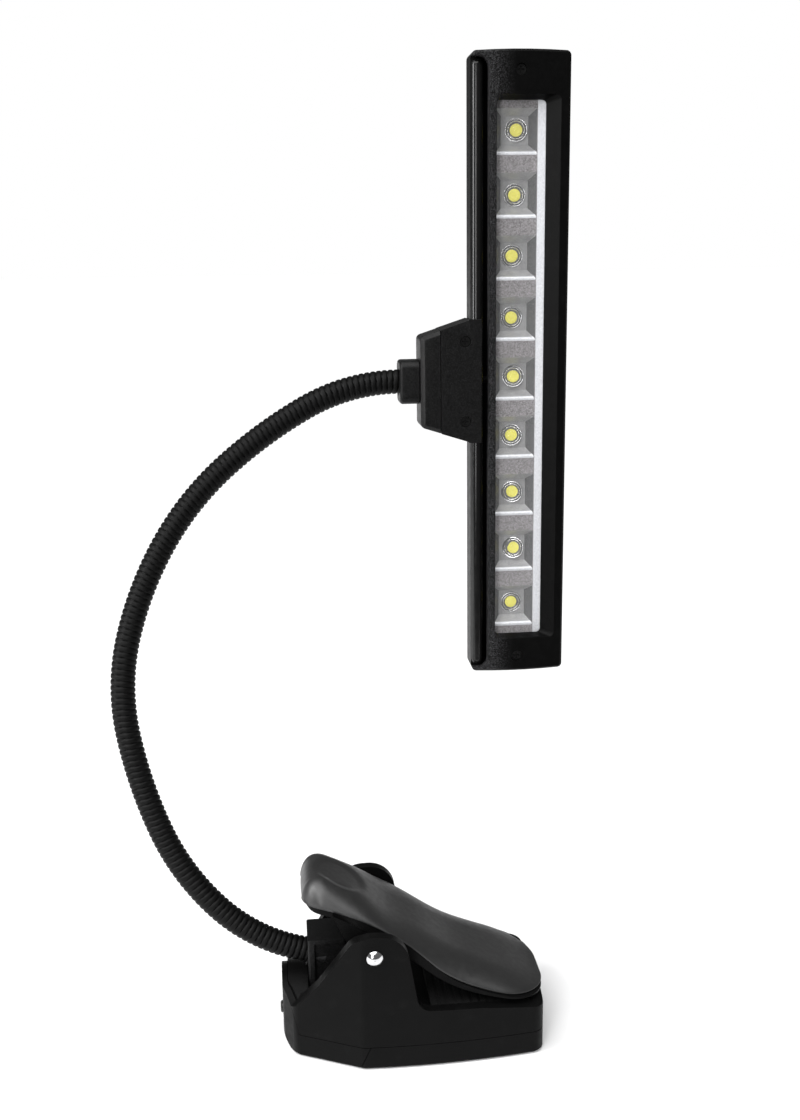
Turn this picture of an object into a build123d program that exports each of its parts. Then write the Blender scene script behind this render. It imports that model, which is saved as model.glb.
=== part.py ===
"""A clip-on reading lamp: spring clip base with three AA cells, ribbed gooseneck, nine-LED bar head.

X runs along the clip with the jaws at +X, the lamp's face looks along -Y, Z is up.
The origin is on the underside of the clip, in the middle of its foot. Millimetres.
"""

from build123d import *
from math import cos, radians, sin
import os

os.makedirs("parts", exist_ok=True)

# Clip base
FOOT_HALF_WIDTH = 28.6  # at the widest place, beside the pivot
FOOT_REAR = -46.5
FOOT_FRONT = 50.2
SEAM = 9.0  # height of the bottom covers
GAP = 0.2  # assembly gap between mouldings
WALL = 2.0
FLOOR = 1.5
EAR = 3.8  # thickness of the pivot ears
EAR_TOP = 52.9
CEILING = 16.6  # underside of the deck over the cells
DECK = 20.6
REAR_ARCH = (17.0, 17.6)  # half width and height of the rear cover's arch
REAR_VAULT = (19.0, 18.4)
SPLIT_TOP = -15.6  # slanted seam between the rear cover and the battery door
SPLIT_BOTTOM = -19.6

# Pivot
PIVOT_X = -13.4
PIVOT_Z = 45.0
PIN_R = 2.0
PIN_HEAD_R = 2.9
RUNNING = 0.06  # radial clearance of a running fit

# Neck
NECK_R = 4.5
NECK_BORE_R = 3.35
LEAD_R = 3.2
NECK_START = Vector(-37.6, 0, 33.9)
NECK_START_ANGLE = 166.7  # degrees from +X, in the leaning plane of the neck
NECK_LEAN = 12.4  # degrees that this plane leans back from the vertical
STRETCH = 36.75  # length of each stretch between two bending places
TURNS = (-32.0, -22.5, -12.0, -25.0, -16.0, -18.5, -12.0, -28.7)
JOINT_GAP = 2.0
SOCKET_DEPTH = 8.0

# Lamp head
HEAD_X = 50.0
HEAD_Z = 241.8
FACE = 38.0  # y of the front face
HEAD_WIDTH = 35.8
HEAD_LENGTH = 230.0
HEAD_DEPTH = 15.0
END_BOW = 0.6  # how far the short ends bow out
BEZEL = 3.6
SHELL_WALL = 1.8
SCREW_R = 1.9
NECK_Y = 45.43
NECK_Z = 240.5
LED_COUNT = 9
LED_PITCH = 22.2
LED_X = 49.2
LED_Z = 241.2
SLOT_RIGHT = 38.3  # the slot along the head's left side, and the round rail in it
RAIL_X = 34.5
RAIL_R = 2.3
BRACKET_LEFT = 12.9
BRACKET_SEAM = 20.4
BRACKET_RIGHT = 31.9
TONGUE_RIGHT = 35.6
BRACKET_HALF = (16.7, 22.8)  # half height at the left and at the right
BRACKET_FRONT = 37.2
BRACKET_BACK = 53.8


def save(part, name):
    part.label = name
    export_step(part, f"parts/{name}.step")


def cap_radius(rim, height):
    """Radius of the sphere whose cap has this rim radius and this height."""
    return (rim**2 + height**2) / (2 * height)


# ------------------------------------------------------------------ outlines
def foot_outline(inset=0.0):
    """The clip base seen from above: bowed sides, bowed front, tapered rear, drawn inset by a wall."""
    front, corner, rear = FOOT_FRONT - inset, 48.4 - inset, FOOT_REAR + inset
    widest, at_front, at_pivot = FOOT_HALF_WIDTH - inset, 25.4 - inset, 28.3 - inset
    taper_y, rear_y = 16.6 - inset * 0.85, 8.5 - inset * 0.5
    taper_x = -42.2 + inset * 0.8
    pivot_x = -18.0 + inset * 0.2
    with BuildSketch() as outline:
        with BuildLine():
            Line((rear, rear_y), (rear, -rear_y))
            Line((rear, -rear_y), (taper_x, -taper_y))
            Line((taper_x, -taper_y), (pivot_x, -at_pivot))
            ThreePointArc((pivot_x, -at_pivot), (12.0, -widest), (corner, -at_front))
            ThreePointArc((corner, -at_front), (front, 0), (corner, at_front))
            ThreePointArc((corner, at_front), (12.0, widest), (pivot_x, at_pivot))
            Line((pivot_x, at_pivot), (taper_x, taper_y))
            Line((taper_x, taper_y), (rear, rear_y))
        make_face()
        fillet(outline.vertices(), radius=max(5.0 - inset, 1.0))
    return outline.sketch_local


def ear_profile():
    """The upper shell from the side: low rear, pivot ear, and the long lower jaw."""
    with BuildSketch() as profile:
        with BuildLine():
            Polyline(
                (-50, SEAM + GAP),
                (-50, 14.0),
                (-41.5, 20.8),
                (-33.5, 30.6),
                (-19.6, EAR_TOP),
                (-2.5, EAR_TOP),
                (2.4, 22.7),
                (25.0, 21.8),
                (54.0, 18.2),
                (54.0, SEAM + GAP),
                close=True,
            )
        make_face()
        ear_top = profile.vertices().filter_by_position(Axis.Y, EAR_TOP - 0.1, EAR_TOP + 0.1)
        fillet(ear_top, radius=10.5)
        jaw_root = profile.vertices().filter_by_position(Axis.X, 2.3, 2.5)
        fillet(jaw_root, radius=5.5)
    return profile.sketch_local


def cover_profile():
    """The bottom covers from the side, with rounded lower corners at both ends."""
    with BuildSketch() as profile:
        with BuildLine():
            Polyline((FOOT_REAR, 0), (FOOT_FRONT, 0), (FOOT_FRONT, 60), (FOOT_REAR, 60), close=True)
        make_face()
        low_corners = profile.vertices().group_by(Axis.Y)[0].sort_by(Axis.X)
        fillet(low_corners[0], radius=6.0)
        fillet(profile.vertices().group_by(Axis.Y)[0].sort_by(Axis.X)[-1], radius=4.5)
    return profile.sketch_local


def bed_profile():
    """Everything above the deck between the ears and above the sunk bed of the lower jaw."""
    with BuildSketch() as profile:
        with BuildLine():
            Polyline(
                (-60, 14.0),
                (-40.5, DECK),
                (4.0, DECK),
                (25.0, 20.0),
                (47.0, 17.2),
                (60, 17.2),
                (60, 70),
                (-60, 70),
                close=True,
            )
        make_face()
    return profile.sketch_local


def arch(radii, grow=0.0):
    """Half oval standing on the seam, across the rear of the base."""
    with BuildSketch() as half_oval:
        with Locations((0, SEAM)):
            Ellipse(radii[0] + grow, radii[1] + grow)
        with Locations((0, SEAM - 30)):
            Rectangle(80, 60, mode=Mode.SUBTRACT)
    return half_oval.sketch_local


def prism(sketch, plane, amount, both=False):
    """A private solid from a closed sketch, for cutting and for intersecting."""
    with BuildPart(mode=Mode.PRIVATE) as solid:
        with BuildSketch(plane):
            add(sketch)
        extrude(amount=amount, both=both)
    return solid.part


# ------------------------------------------------------------------ clip base
INLET_Y = 4.2
INLET_Z = 13.0
NOSE_R = 2.6
JACK_R = 1.8
BUTTON_R = 2.2
COVER_SCREWS = [(-25.0, 18.0), (-25.0, -18.0)]
BAY_Y = 22.5  # middle of the battery bay walls
SOCKET = (-36.6, -22.6, 8.0, 41.4)  # rear, front, half width and top of the neck socket

rear_ring = prism(foot_outline(), Plane.XY.offset(SEAM), 30) - prism(
    foot_outline(WALL), Plane.XY.offset(SEAM), 30
)
rear_wall = rear_ring & prism(arch(REAR_ARCH), Plane.YZ.offset(-52), 16)
rear_wall_room = (
    prism(foot_outline(-1), Plane.XY.offset(SEAM - 1), 32)
    - prism(foot_outline(WALL + GAP), Plane.XY.offset(SEAM - 1), 32)
) & prism(arch(REAR_ARCH, GAP), Plane.YZ.offset(-52), 16)
rear_vault = prism(foot_outline(WALL + GAP), Plane.XY.offset(SEAM + GAP), 30) & prism(
    arch(REAR_VAULT), Plane.YZ.offset(-52), 52 + SOCKET[0] - 0.3
)

with BuildPart() as base_housing:
    with BuildSketch(Plane.XY.offset(SEAM + GAP)):
        add(foot_outline())
    extrude(amount=EAR_TOP)
    add(prism(ear_profile(), Plane.XZ, 40, both=True), mode=Mode.INTERSECT)
    room = prism(foot_outline(EAR), Plane.XY, 70) & prism(bed_profile(), Plane.XZ, 40, both=True)
    add(room, mode=Mode.SUBTRACT)
    add(rear_wall_room, mode=Mode.SUBTRACT)
    add(rear_vault)
    # battery and electronics bay, open below
    with BuildSketch(Plane.XY.offset(SEAM)):
        add(foot_outline(WALL + GAP))
    extrude(amount=CEILING - SEAM, mode=Mode.SUBTRACT)
    with BuildSketch(Plane.YZ.offset(-44.0)):
        add(arch((14.0, 15.6)))
    extrude(amount=5.2, mode=Mode.SUBTRACT)
    for side in (-1, 1):
        with BuildSketch(Plane.XY.offset(3.5)):
            with Locations((14.0, side * BAY_Y)):
                Rectangle(52.0, 1.1)
        extrude(amount=CEILING - 3.5 + 0.5)
    with BuildSketch(Plane.XY.offset(FLOOR + 1.9)):
        with Locations(*COVER_SCREWS):
            Circle(3.0)
    extrude(amount=CEILING - FLOOR - 1.4)
    with BuildSketch(Plane.XY.offset(FLOOR)):
        with Locations(*COVER_SCREWS):
            Circle(1.15)
    extrude(amount=12.5, mode=Mode.SUBTRACT)
    with BuildSketch(Plane.XZ):
        with Locations((PIVOT_X, PIVOT_Z)):
            Circle(PIN_R + 0.03)
    extrude(amount=40, both=True, mode=Mode.SUBTRACT)
save(base_housing.part, "base_housing")

rounded_ends = prism(cover_profile(), Plane.XZ, 40, both=True)

with BuildPart() as rear_bottom_cover:
    with BuildSketch():
        add(foot_outline())
    extrude(amount=SEAM)
    chamfer(rear_bottom_cover.faces().sort_by(Axis.Z)[0].edges(), length=1.2)
    with BuildSketch(Plane.XY.offset(FLOOR)):
        add(foot_outline(WALL))
    extrude(amount=SEAM, mode=Mode.SUBTRACT)
    with BuildSketch(Plane.XZ):
        with BuildLine():
            Polyline((-60, -1), (SPLIT_BOTTOM - 0.45, -1), (SPLIT_TOP, SEAM), (-60, SEAM), close=True)
        make_face()
    extrude(amount=40, both=True, mode=Mode.INTERSECT)
    add(rounded_ends, mode=Mode.INTERSECT)
    add(rear_wall)
    with BuildSketch(Plane.YZ.offset(-50)):
        with Locations((INLET_Y, INLET_Z)):
            Circle(NOSE_R + 0.05)
        with Locations((-INLET_Y, INLET_Z)):
            Circle(BUTTON_R + 0.3)
    extrude(amount=8, mode=Mode.SUBTRACT)
    with BuildSketch():
        with Locations(*COVER_SCREWS):
            Circle(3.6)
    extrude(amount=FLOOR + 1.7)
    with BuildSketch():
        with Locations(*COVER_SCREWS):
            Circle(2.7)
    extrude(amount=1.6, mode=Mode.SUBTRACT)
    with BuildSketch():
        with Locations(*COVER_SCREWS):
            Circle(1.3)
    extrude(amount=6, mode=Mode.SUBTRACT)
save(rear_bottom_cover.part, "rear_bottom_cover")

with BuildPart() as battery_door:
    with BuildSketch():
        add(foot_outline())
    extrude(amount=SEAM)
    chamfer(battery_door.faces().sort_by(Axis.Z)[0].edges(), length=1.2)
    with BuildSketch(Plane.XY.offset(FLOOR)):
        add(foot_outline(WALL))
    extrude(amount=SEAM, mode=Mode.SUBTRACT)
    with BuildSketch(Plane.XZ):
        with BuildLine():
            Polyline(
                (SPLIT_BOTTOM - 0.2, -1),
                (SPLIT_TOP + 0.25, SEAM),
                (60, SEAM),
                (60, 7),
                (45.2, -1),
                close=True,
            )
        make_face()
    extrude(amount=40, both=True, mode=Mode.INTERSECT)
    add(rounded_ends, mode=Mode.INTERSECT)
save(battery_door.part, "battery_door")

with BuildPart() as cover_screws:
    with BuildSketch(Plane.XY.offset(0.3)):
        with Locations(*COVER_SCREWS):
            Circle(2.5)
    extrude(amount=1.3)
    with BuildSketch(Plane.XY.offset(0.3)):
        with Locations(*COVER_SCREWS):
            Circle(1.1)
    extrude(amount=13)
    with BuildSketch(Plane.XY.offset(0.3)):
        for x, y in COVER_SCREWS:
            with Locations((x, y)):
                Rectangle(3.2, 0.7)
                Rectangle(0.7, 3.2)
    extrude(amount=0.8, mode=Mode.SUBTRACT)
save(cover_screws.part, "cover_screws")

lean_up = Vector(0, sin(radians(NECK_LEAN)), cos(radians(NECK_LEAN)))
neck_entry = Vector(1, 0, 0) * cos(radians(NECK_START_ANGLE)) + lean_up * sin(radians(NECK_START_ANGLE))
neck_foot = NECK_START - neck_entry * SOCKET_DEPTH
with BuildPart() as neck_socket:
    with BuildSketch(Plane.XY.offset(DECK)):
        with Locations(((SOCKET[0] + SOCKET[1]) / 2, 0)):
            Rectangle(SOCKET[1] - SOCKET[0], 2 * SOCKET[2])
    extrude(amount=SOCKET[3] - DECK)
    fillet(neck_socket.edges().filter_by(Axis.Z), radius=1.0)
    # open sides between the rear flange and the top plate
    for side in (-1, 1):
        with BuildSketch(Plane.XZ.offset(-side * SOCKET[2])):
            with Locations(((SOCKET[0] + SOCKET[1]) / 2 + 2.4, (DECK + SOCKET[3]) / 2 - 1.6)):
                Rectangle(SOCKET[1] - SOCKET[0], SOCKET[3] - DECK)
        extrude(amount=side * 2.1, mode=Mode.SUBTRACT)
    with BuildSketch(Plane(origin=neck_foot - neck_entry * 0.2, z_dir=neck_entry)):
        Circle(5.7)
    extrude(amount=SOCKET_DEPTH + 6, mode=Mode.SUBTRACT)
    with BuildSketch(Plane(origin=neck_foot, z_dir=neck_entry)):
        Circle(2.0)
    extrude(amount=-14, mode=Mode.SUBTRACT)
save(neck_socket.part, "neck_socket")

with BuildPart() as neck_ferrule:
    with BuildSketch(Plane(origin=neck_foot, z_dir=neck_entry)):
        Circle(5.65)
        Circle(NECK_R + 0.1, mode=Mode.SUBTRACT)
    extrude(amount=SOCKET_DEPTH - 1.5)
save(neck_ferrule.part, "neck_ferrule")

pin_half = FOOT_HALF_WIDTH + 0.05
PIN_CAP = 1.2
with BuildPart() as pivot_pin:
    with BuildSketch(Plane.XY.offset(PIVOT_Z)):
        with BuildLine():
            rim = PIVOT_X + PIN_HEAD_R
            cap = cap_radius(PIN_HEAD_R, PIN_CAP)
            Line((PIVOT_X, -pin_half - 0.3 - PIN_CAP), (PIVOT_X, pin_half + 0.3 + PIN_CAP))
            RadiusArc((PIVOT_X, pin_half + 0.3 + PIN_CAP), (rim, pin_half + 0.3), cap)
            Polyline(
                (rim, pin_half + 0.3),
                (rim, pin_half),
                (PIVOT_X + PIN_R, pin_half),
                (PIVOT_X + PIN_R, -pin_half),
                (rim, -pin_half),
                (rim, -pin_half - 0.3),
            )
            RadiusArc((rim, -pin_half - 0.3), (PIVOT_X, -pin_half - 0.3 - PIN_CAP), cap)
        make_face()
    revolve(axis=Axis((PIVOT_X, 0, PIVOT_Z), (0, 1, 0)))
save(pivot_pin.part, "pivot_pin")

SPRING_R = 4.2
WIRE_R = 0.7
SPRING_PITCH = 1.7
SPRING_TURNS = 4.75
SPRING_LEG = 9.0
spring_width = SPRING_TURNS * SPRING_PITCH
with BuildPart() as spring_wire:
    with BuildLine() as wire:
        coil = Helix(SPRING_PITCH, spring_width, SPRING_R)
        Line(coil @ 0 - coil % 0 * SPRING_LEG, coil @ 0)
        Line(coil @ 1, coil @ 1 + coil % 1 * SPRING_LEG)
    with BuildSketch(Plane(origin=wire.line @ 0, z_dir=wire.line % 0)):
        Circle(WIRE_R)
    sweep()
torsion_spring = Plane(origin=(PIVOT_X, spring_width / 2, PIVOT_Z), x_dir=(1, 0, 0), z_dir=(0, -1, 0)) * (
    spring_wire.part
)
save(torsion_spring, "torsion_spring")

CELL_R = 7.1
CELL_PITCH = 14.6
CELL_LENGTH = 49.2
CELL_REAR = -11.2
CELL_Z = 9.1
cell_rows = [-CELL_PITCH, 0, CELL_PITCH]
with BuildPart() as aa_cells:
    with BuildSketch(Plane.YZ.offset(CELL_REAR)):
        with Locations(*[(y, CELL_Z) for y in cell_rows]):
            Circle(CELL_R)
    extrude(amount=CELL_LENGTH)
    with BuildSketch(Plane.YZ.offset(CELL_REAR + CELL_LENGTH)):
        with Locations(*[(y, CELL_Z) for y in cell_rows]):
            Circle(2.75)
    extrude(amount=1.2)
save(aa_cells.part, "aa_cells")

with BuildPart() as contact_plates:
    for x in (CELL_REAR - 0.9, CELL_REAR + CELL_LENGTH + 1.4):
        with BuildSketch(Plane.YZ.offset(x)):
            with Locations((0, CELL_Z)):
                Rectangle(42.0, 11.0)
        extrude(amount=0.5)
save(contact_plates.part, "contact_plates")

with BuildPart() as control_board:
    with BuildSketch(Plane.XY.offset(6.6)):
        with Locations((-28.0, 0)):
            Rectangle(27.0, 25.0)
    extrude(amount=1.5)
    with BuildSketch(Plane.XY.offset(8.1)):
        with Locations((-24.0, 5.0)):
            Rectangle(6.0, 5.0)
        with Locations((-20.0, -6.0)):
            Rectangle(4.0, 8.0)
        with Locations((-27.0, -6.0)):
            Circle(3.0)
    extrude(amount=2.2)
save(control_board.part, "control_board")

with BuildPart() as dc_jack:
    with BuildSketch(Plane.XY.offset(8.2)):
        with Locations((-38.7, INLET_Y)):
            Rectangle(10.8, 7.4)
    extrude(amount=8.2)
    with BuildSketch(Plane.YZ.offset(FOOT_REAR + 0.1)):
        with Locations((INLET_Y, INLET_Z)):
            Circle(NOSE_R)
    extrude(amount=4.0)
    with BuildSketch(Plane.YZ.offset(FOOT_REAR)):
        with Locations((INLET_Y, INLET_Z)):
            Circle(JACK_R)
    extrude(amount=11.0, mode=Mode.SUBTRACT)
save(dc_jack.part, "dc_jack")

with BuildPart() as switch_body:
    with BuildSketch(Plane.XY.offset(8.2)):
        with Locations((-38.2, -INLET_Y)):
            Rectangle(7.4, 7.4)
    extrude(amount=8.2)
save(switch_body.part, "switch_body")

with BuildPart() as switch_button:
    with BuildSketch(Plane.YZ.offset(FOOT_REAR - 0.9)):
        with Locations((-INLET_Y, INLET_Z)):
            Circle(BUTTON_R)
    extrude(amount=3.9)
    chamfer(switch_button.faces().sort_by(Axis.X)[0].edges(), length=0.4)
save(switch_button.part, "switch_button")

# ------------------------------------------------------------------ jaw pads
RIB_PITCH = 3.0
with BuildPart() as lower_jaw_pad:
    with BuildSketch(Plane.XY):
        add(foot_outline(EAR + 0.3))
    extrude(amount=30)
    with BuildSketch(Plane.XZ):
        with BuildLine():
            Polyline(
                (7.0, DECK + 0.1),
                (25.0, 20.1),
                (45.5, 17.5),
                (45.5, 18.5),
                (25.0, 21.9),
                (7.0, 22.4),
                close=True,
            )
        make_face()
        with Locations(*[(10 + RIB_PITCH * n, 22.55 - 0.0030 * (3 * n) ** 2) for n in range(12)]):
            Rectangle(1.2, 1.1, mode=Mode.SUBTRACT)
    extrude(amount=40, both=True, mode=Mode.INTERSECT)
save(lower_jaw_pad.part, "lower_jaw_pad")


# ------------------------------------------------------------------ clip lever
def lever_outline(inset=0.0):
    """The lever seen from above: narrow rounded thumb end, wider rounded jaw end."""
    side = [(-34.5, 16.2), (-12.0, 20.2), (10.0, 23.2), (30.0, 25.3), (49.2, 25.0)]
    side = [(x, y - inset) for x, y in side]
    side[0] = (side[0][0] + inset, side[0][1])
    side[-1] = (side[-1][0] - inset, side[-1][1])
    mirrored = [(x, -y) for x, y in side]
    with BuildSketch() as outline:
        with BuildLine():
            ThreePointArc(side[0], (-38.4 + inset, 0), mirrored[0])
            Spline(*mirrored)
            ThreePointArc(mirrored[-1], (51.2 - inset, 0), side[-1])
            Spline(*reversed(side))
        make_face()
        fillet(outline.vertices().group_by(Axis.X)[-1], radius=16.0 - inset)
        fillet(outline.vertices().group_by(Axis.X)[0], radius=6.5 - inset)
    return outline.sketch_local


TOP_CURVE = [(-39, 61.0), (-30, 64.4), (-18, 60.2), (-3, 51.0), (15, 38.6), (36, 27.6), (52, 21.4)]
GROOVE_CURVE = [(-39, 59.6), (-30, 58.4), (-16, 53.9), (-1, 45.3), (13.4, 32.8), (30, 25.4), (52, 20.6)]
UNDER_CURVE = [(-39, 57.2), (-30, 56.0), (-16, 50.6), (-1, 40.4), (13.4, 29.8), (30, 24.0), (52, 19.6)]


def lever_band(above, below, lift_above=0.0, lift_below=0.0):
    """The side view of a layer of the lever between two of its long curves."""
    high = [(x, z + lift_above) for x, z in above]
    low = [(x, z + lift_below) for x, z in below]
    with BuildSketch() as band:
        with BuildLine():
            Spline(*high)
            Line(high[-1], low[-1])
            Spline(*reversed(low))
            Line(low[0], high[0])
        make_face()
    return band.sketch_local


HUB_R = 5.0
HUB_Y = (15.6, 19.0)

with BuildPart() as lever_cover:
    with BuildSketch(Plane.XY.offset(10)):
        add(lever_outline())
    extrude(amount=60)
    add(prism(lever_band(TOP_CURVE, GROOVE_CURVE), Plane.XZ, 40, both=True), mode=Mode.INTERSECT)
    hollow = prism(lever_outline(1.8), Plane.XY, 70) & prism(
        lever_band(TOP_CURVE, GROOVE_CURVE, -2.0, -6.0), Plane.XZ, 40, both=True
    )
    add(hollow, mode=Mode.SUBTRACT)
save(lever_cover.part, "lever_cover")

with BuildPart() as ahead_of_pivot_block:
    with BuildSketch():
        with Locations((37.0, 0)):
            Rectangle(54.0, 60.0)
    extrude(amount=70)
ahead_of_pivot = ahead_of_pivot_block.part

with BuildPart() as lever_frame:
    with BuildSketch(Plane.XY.offset(10)):
        add(lever_outline(0.5))
    extrude(amount=60)
    add(
        prism(lever_band(GROOVE_CURVE, UNDER_CURVE, -GAP), Plane.XZ, 40, both=True), mode=Mode.INTERSECT
    )
    core = prism(lever_outline(2.6), Plane.XY, 70)
    floor = prism(lever_band(UNDER_CURVE, UNDER_CURVE, 1.6, -1.0), Plane.XZ, 40, both=True)
    add(core - (floor & ahead_of_pivot), mode=Mode.SUBTRACT)
    # side webs that carry the hubs on the pin
    for side in (-1, 1):
        with BuildSketch(Plane.XZ.offset(-side * sum(HUB_Y) / 2)):
            with BuildLine():
                Polyline(
                    (-27.5, 57.0),
                    (-22.6, 46.2),
                    (PIVOT_X - 3.0, PIVOT_Z - 4.0),
                    (PIVOT_X + HUB_R, PIVOT_Z),
                    (-1.5, 43.0),
                    close=True,
                )
            make_face()
            with Locations((PIVOT_X, PIVOT_Z)):
                Circle(HUB_R)
        extrude(amount=(HUB_Y[1] - HUB_Y[0]) / 2, both=True)
    with BuildSketch(Plane.XZ):
        with Locations((PIVOT_X, PIVOT_Z)):
            Circle(PIN_R + RUNNING)
    extrude(amount=40, both=True, mode=Mode.SUBTRACT)
save(lever_frame.part, "lever_frame")

with BuildPart() as upper_jaw_pad:
    with BuildSketch(Plane.XY.offset(10)):
        add(lever_outline(3.4))
    extrude(amount=60)
    add(
        prism(lever_band(UNDER_CURVE, UNDER_CURVE, -0.05, -1.25), Plane.XZ, 40, both=True),
        mode=Mode.INTERSECT,
    )
    with BuildSketch(Plane.XY):
        with Locations((29.0, 0)):
            Rectangle(32.0, 60.0)
    extrude(amount=70, mode=Mode.INTERSECT)
save(upper_jaw_pad.part, "upper_jaw_pad")

# ------------------------------------------------------------------ gooseneck
def neck_point(start, angle, turn, part_way):
    """The point and the direction part way along a stretch that turns evenly."""
    if turn:
        radius = STRETCH / radians(turn)
        here = angle + turn * part_way
        along = radius * (sin(radians(here)) - sin(radians(angle)))
        up = -radius * (cos(radians(here)) - cos(radians(angle)))
    point = start + Vector(1, 0, 0) * along + lean_up * up
    heading = Vector(1, 0, 0) * cos(radians(here)) + lean_up * sin(radians(here))
    return point, heading


angle = NECK_START_ANGLE
start = NECK_START
trim = JOINT_GAP / 2 / STRETCH
for number, turn in enumerate(TURNS, 1):
    first = number == 1
    last = number == len(TURNS)
    low, low_way = neck_point(start, angle, turn, 0 if first else trim)
    middle, _ = neck_point(start, angle, turn, 0.5)
    high, high_way = neck_point(start, angle, turn, 1 if last else 1 - trim)
    for kind, radius in (("coil", NECK_R), ("lead", LEAD_R)):
        with BuildPart() as stretch:
            with BuildLine() as run:
                if first:
                    Line(low - low_way * (SOCKET_DEPTH - 0.3), low)
                ThreePointArc(low, middle, high)
                if last:
                    Line(high, high + high_way * 5.5)
            with BuildSketch(Plane(origin=run.line @ 0, z_dir=run.line % 0)):
                Circle(radius)
                if kind == "coil":
                    Circle(NECK_BORE_R, mode=Mode.SUBTRACT)
            sweep()
        save(stretch.part, f"neck_{kind}_{number}")
    start, _ = neck_point(start, angle, turn, 1.0)
    angle += turn


# ------------------------------------------------------------------ lamp head
head_left = HEAD_X - HEAD_WIDTH / 2
head_right = HEAD_X + HEAD_WIDTH / 2
head_top = HEAD_Z + HEAD_LENGTH / 2
head_bottom = HEAD_Z - HEAD_LENGTH / 2


def head_outline(inset=0.0):
    """The long head from the front, with slightly bowed short ends."""
    left, right = head_left + inset, head_right - inset
    bottom, top = head_bottom + inset, head_top - inset
    with BuildSketch() as outline:
        with BuildLine():
            Line((left, bottom + END_BOW), (left, top - END_BOW))
            ThreePointArc((left, top - END_BOW), (HEAD_X, top), (right, top - END_BOW))
            Line((right, top - END_BOW), (right, bottom + END_BOW))
            ThreePointArc((right, bottom + END_BOW), (HEAD_X, bottom), (left, bottom + END_BOW))
        make_face()
        fillet(outline.vertices(), radius=max(1.8 - inset, 0.5))
    return outline.sketch_local


def rear_of(y):
    """A drawing plane across the head at depth y, seen from the front."""
    return Plane.XZ.offset(-y)


SLOT_TOP = 354.6
SLOT_BOTTOM = 128.6
HEAD_SCREWS = [(49.9, 349.9), (49.9, 132.9)]
BACK = FACE + HEAD_DEPTH
SHELL_FRONT = FACE + BEZEL + 0.1

with BuildPart() as front_bezel:
    with BuildSketch(rear_of(FACE)):
        add(head_outline())
    extrude(amount=-BEZEL)
    chamfer(front_bezel.faces().sort_by(Axis.Y)[0].outer_wire().edges(), length=0.8)
    with BuildSketch(rear_of(FACE)):
        with Locations(((41.1 + 64.4) / 2, (140.2 + 341.6) / 2)):
            RectangleRounded(64.4 - 41.1, 341.6 - 140.2, 2.0)
    with BuildSketch(rear_of(FACE + BEZEL)):
        with Locations(((41.5 + 59.6) / 2, (141.4 + 340.0) / 2)):
            RectangleRounded(59.6 - 41.5, 340.0 - 141.4, 1.6)
    loft(mode=Mode.SUBTRACT)
    with BuildSketch(rear_of(FACE)):
        with Locations(((head_left + SLOT_RIGHT) / 2 - 2, (SLOT_TOP + SLOT_BOTTOM) / 2)):
            RectangleRounded(SLOT_RIGHT - head_left + 4, SLOT_TOP - SLOT_BOTTOM, 3.6)
    extrude(amount=-BEZEL, mode=Mode.SUBTRACT)
    with BuildSketch(rear_of(FACE)):
        with Locations(*HEAD_SCREWS):
            Circle(SCREW_R + 0.15)
    extrude(amount=-2.2, mode=Mode.SUBTRACT)
    with BuildSketch(rear_of(FACE)):
        with Locations(*HEAD_SCREWS):
            Circle(1.15)
    extrude(amount=-BEZEL, mode=Mode.SUBTRACT)
save(front_bezel.part, "front_bezel")

# round rail that shows in the slot of the bezel, moulded on the back shell
with BuildPart() as rail:
    with BuildSketch(Plane.XY.offset(SLOT_BOTTOM + 2.6)):
        with Locations((RAIL_X, FACE + 4.2)):
            Circle(RAIL_R)
    extrude(amount=SLOT_TOP - SLOT_BOTTOM - 5.2)

with BuildPart() as head_back_shell:
    with BuildSketch(rear_of(SHELL_FRONT)):
        add(head_outline())
    extrude(amount=-(BACK - SHELL_FRONT))
    fillet(head_back_shell.faces().sort_by(Axis.Y)[-1].outer_wire().edges(), radius=2.4)
    with BuildSketch(rear_of(SHELL_FRONT)):
        add(head_outline(SHELL_WALL))
    extrude(amount=-(HEAD_DEPTH - BEZEL - 0.1 - SHELL_WALL), mode=Mode.SUBTRACT)
    with BuildSketch(rear_of(SHELL_FRONT)):
        with Locations(*HEAD_SCREWS):
            Circle(2.4)
    extrude(amount=-(BACK - SHELL_FRONT - 0.5))
    with BuildSketch(rear_of(SHELL_FRONT)):
        with Locations(*HEAD_SCREWS):
            Circle(0.95)
    extrude(amount=-7, mode=Mode.SUBTRACT)
    add(rail.part)
    # lead entry
    with BuildSketch(Plane.YZ.offset(head_left - 1)):
        with Locations((NECK_Y + 1.5, NECK_Z)):
            Circle(1.6)
    extrude(amount=9, mode=Mode.SUBTRACT)
save(head_back_shell.part, "head_back_shell")

with BuildPart() as head_screws:
    with BuildSketch(rear_of(FACE + 0.9)):
        with Locations(*HEAD_SCREWS):
            Circle(SCREW_R)
    extrude(amount=-1.25)
    with BuildSketch(rear_of(FACE + 0.9)):
        with Locations(*HEAD_SCREWS):
            Circle(0.9)
    extrude(amount=-9)
    with BuildSketch(rear_of(FACE + 0.9)):
        for x, z in HEAD_SCREWS:
            with Locations((x, z)):
                Rectangle(2.4, 0.6)
                Rectangle(0.6, 2.4)
    extrude(amount=-0.7, mode=Mode.SUBTRACT)
save(head_screws.part, "head_screws")

LENS_Y = SHELL_FRONT + 0.1
TRAY_Y = LENS_Y + 1.1
POCKET_DEPTH = 4.0
led_heights = [LED_Z + LED_PITCH * (n - (LED_COUNT - 1) / 2) for n in range(LED_COUNT)]
with BuildPart() as window_lens:
    with BuildSketch(rear_of(LENS_Y)):
        with Locations((51.6, LED_Z)):
            RectangleRounded(22.6, 206.0, 2.0)
    extrude(amount=-1.0)
save(window_lens.part, "window_lens")

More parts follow.
